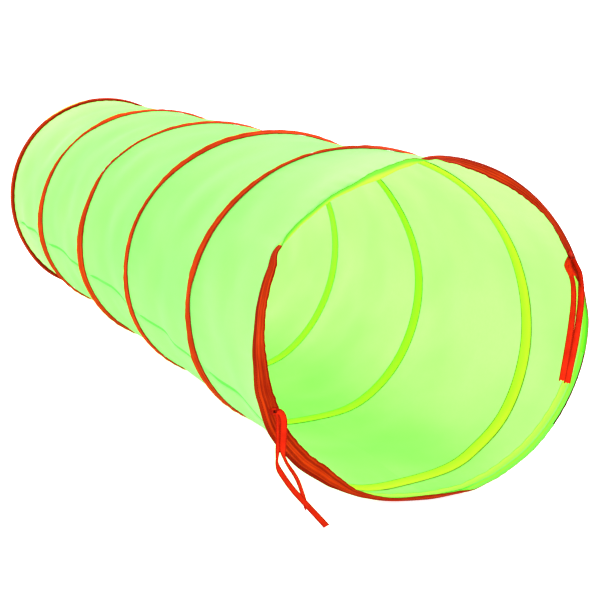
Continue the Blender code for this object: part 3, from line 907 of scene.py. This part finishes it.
def build_tie_base(side, theta, materials):
    """The ribbon's folded middle, its cloth darkened with painted shade, and its bar tack, on the hem's red side at
    its free edge.
    """
    angles = np.linspace(theta - 1.1, theta + 1.1, 7)[:, None]
    reach = float(hem_width(theta)) + np.linspace(-0.014, 0.001, 12)[None, :]
    lift = 0.0022 + 0.0004 * np.cos(np.linspace(-1, 1, 7) * math.pi)[:, None]
    top = hem_spot(angles, reach, lift + 0.0005)
    low = hem_spot(angles, reach, lift - 0.0005)
    across = np.linspace(-0.0075, 0.0075, 12)
    fold = sweep(f"tie_{side}_fold", np.concatenate([top, low[:, ::-1]], axis=1),
                 angles[:, 0] * math.radians(RADIUS), np.concatenate([across, across[::-1]]),
                 [materials["fold"]])
    cap_ends(fold, len(angles), 2 * len(across))
    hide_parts(f"tie_{side}_tab")
    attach(fold, "front_ring")
    return [fold, build_tack(side, theta + (0 if side == "left" else -1.8), materials)]


def build_tack(side, theta, materials):
    """A bar tack: one thread sewn to and fro across the ribbon."""
    strands = 11
    turn = np.linspace(0, 2 * math.pi, 6, endpoint=False)
    steps = np.linspace(0, 1, strands * 6 + 1)
    sway = (np.abs((steps * strands) % 2 - 1) * 2 - 1)[:, None]
    angles = theta + 0.5 * (2 * steps[:, None] - 1)
    reach = float(hem_width(theta)) - 0.006 + 0.0028 * sway + 0.0003 * np.cos(turn)[None, :]
    points = hem_spot(angles, reach, 0.0032 + 0.0003 * np.sin(turn)[None, :])
    tack = sweep(f"tie_{side}_tack", points, steps * 0.04, turn * 0.0003, [materials["thread"]])
    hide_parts(f"tie_{side}_bar_tack")
    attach(tack, "front_ring")
    return tack


def build_ties(materials):
    left_base = build_tie_base("left", LEFT_TIE_ANGLE, materials)
    right_base = build_tie_base("right", RIGHT_TIE_ANGLE, materials)
    wrap = ribbon("tie_right_wrap", materials, ((0, 60), (1, 60)), "square")[0]
    tails = (
        ("tie_left_long_tail", ((0, -40), (0.26, -48), (0.36, -70), (0.46, -42), (1, -38)), "square", left_base),
        ("tie_left_short_tail", ((0, -4), (0.34, -8), (0.46, -68), (0.75, -60), (1, -56)), "pointed", []),
        ("tie_right_inner_tail", ((0, 58), (0.2, 56), (0.35, 46), (0.6, 25), (1, 0)), "ragged",
         [*right_base, wrap]),
        ("tie_right_outer_tail", ((0, 66), (0.15, 58), (0.3, 30), (0.5, 8), (1, 0)), "ragged", []),
    )
    for name, turns, end, others in tails:
        obj, points, length = ribbon(name, materials, turns, end)


def build_crimps(materials):
    """The pinched metal sleeves that hold each end of the coil's wire to the ring beside it."""
    steps = np.linspace(-1, 1, 15)[:, None]
    turn = np.linspace(0, 2 * math.pi, 20, endpoint=False)[None, :]
    pinch = 1 - 0.22 * np.exp(-(((np.abs(steps) - 0.45) / 0.14) ** 2)) + 0.12 * steps**6
    places = (("front", COIL_START + 5, hem_root, rim_stand), ("rear", COIL_END - 5, rear_ring_x, no_stand))
    for side, middle, ring_x, stand in places:
        theta = middle + 1.9 * steps
        beside = (ring_x(theta) + coil_x(theta)) / 2
        radius = WIRE_CENTRE + stand(theta) + 0.0021 * pinch * np.sin(turn)
        points = ring_points(theta, beside + 0.0030 * np.cos(turn), radius)
        crimp = sweep(f"{side}_crimp", points, theta[:, 0] * math.radians(RADIUS), turn[0] * 0.0025,
                      [materials["steel"]])
        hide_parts(f"{side}_wire_crimp")
        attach(crimp, f"{side}_ring")


def rear_ring_x(theta):
    """The X of the rear ring, which stands square."""
    return REAR_X + 0 * theta


def no_stand(theta):
    """The rear ring is round."""
    return 0 * theta


# Camera, floor and light


def build_camera():
    data = bpy.data.cameras.new("camera")
    data.sensor_width = 36
    data.lens = 83.0
    camera = bpy.data.objects.new("camera", data)
    camera.location = CENTRE + RADIUS * Vector((6.815, -3.501, 1.667))
    yaw, pitch = 0.382, 0.191
    look = Vector((-math.cos(yaw) * math.cos(pitch), math.sin(yaw) * math.cos(pitch), -math.sin(pitch)))
    camera.rotation_euler = look.to_track_quat("-Z", "Y").to_euler()
    bpy.context.scene.collection.objects.link(camera)
    bpy.context.scene.camera = camera


def area_light(name, place, target, size, power):
    data = bpy.data.lights.new(name, "AREA")
    data.shape = "DISK"
    data.size = size
    data.energy = power
    light = bpy.data.objects.new(name, data)
    light.location = place
    light.rotation_euler = (Vector(target) - Vector(place)).to_track_quat("-Z", "Y").to_euler()
    bpy.context.scene.collection.objects.link(light)


def build_studio():
    scene = bpy.context.scene
    scene.view_settings.view_transform = "Standard"
    world = bpy.data.worlds.new("studio")
    world.use_nodes = True
    world.node_tree.nodes["Background"].inputs["Color"].default_value = (1, 1, 1, 1)
    world.node_tree.nodes["Background"].inputs["Strength"].default_value = 1.35
    scene.world = world
    area_light("key", (-0.7, 0.7, 2.4), (0, 0, 0.2), 2.4, 88)
    corners = [(-30, -30, -0.0005), (30, -30, -0.0005), (30, 30, -0.0005), (-30, 30, -0.0005)]
    material, _, shader = new_tree("pale_floor")
    shader.inputs["Base Color"].default_value = (0.85, 0.85, 0.85, 1)
    shader.inputs["Roughness"].default_value = 0.9
    shader.inputs["Emission Color"].default_value = (1, 1, 1, 1)
    shader.inputs["Emission Strength"].default_value = 0.85
    floor = mesh_object("floor", corners, [(0, 1, 2, 3)], corners_uv(corners), [material])


def corners_uv(corners):
    return [(x, y) for x, y, _ in corners]


def main():
    build_camera()
    materials = make_materials()
    build_ties(materials)
    build_sleeve(materials)
    build_seam(materials)
    build_tapes(materials)
    build_linings(materials)
    build_wires(materials)
    build_front_rim(materials)
    build_front_lining(materials)
    build_rear_rim(materials)
    build_crimps(materials)
    build_studio()


main()
